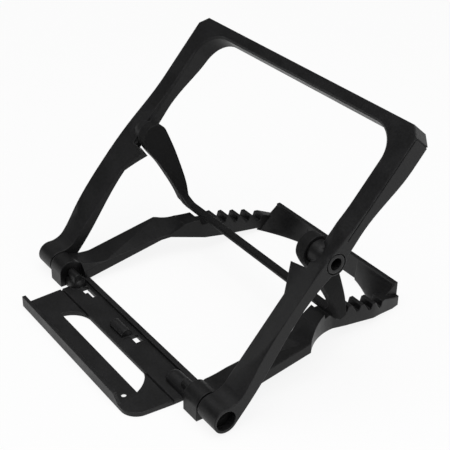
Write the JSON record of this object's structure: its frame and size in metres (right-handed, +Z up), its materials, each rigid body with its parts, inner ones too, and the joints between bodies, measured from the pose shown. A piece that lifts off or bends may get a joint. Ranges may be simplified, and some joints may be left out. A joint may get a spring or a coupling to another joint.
{
  "type": "photo album stand",
  "caption": "Folding black plastic stand for a photo album: toothed base rails, a leaning back frame held by a swinging prop, and a front tray with a lip.",
  "frame": {"origin": "middle of the bounding box on the table", "axes": "+X to the right along the front hinge, +Y from the lip to the rear bar, +Z up"},
  "size_m": [0.2, 0.192, 0.1445],
  "materials": {
    "base_plastic": "satin moulded black",
    "frame_plastic": "satin moulded black",
    "prop_plastic": "satin moulded black",
    "tray_plastic": "satin moulded black",
    "pin_plastic": "moulded black",
    "rivet_plastic": "moulded black"
  },
  "bodies": {
    "base": {"base_frame": "base_plastic"},
    "back": {"back_frame": "frame_plastic", "hinge_pin_left": "pin_plastic", "hinge_pin_right": "pin_plastic", "prop_pivot_left": "rivet_plastic", "prop_pivot_right": "rivet_plastic"},
    "prop": {"prop": "prop_plastic"},
    "ledge": {"ledge_tray": "tray_plastic"}
  },
  "joints": [
    {"name": "frame_fold", "type": "hinge", "parent": "base", "child": "back", "pos_m": [0, -0.0595, 0.0085], "axis": [1, 0, 0], "range_deg": [-38.1, 0]},
    {"name": "prop_swing", "type": "hinge", "parent": "back", "child": "prop", "pos_m": [0, 0.00827, 0.08094], "axis": [1, 0, 0], "range_deg": [0, 114.2]},
    {"name": "tray_flip", "type": "hinge", "parent": "base", "child": "ledge", "pos_m": [0, -0.0595, 0.0085], "axis": [1, 0, 0], "range_deg": [-178, 0]}
  ],
  "couplings": [
    {"joint": "prop_swing", "follows": "frame_fold", "ratio": -2.995}
  ]
}
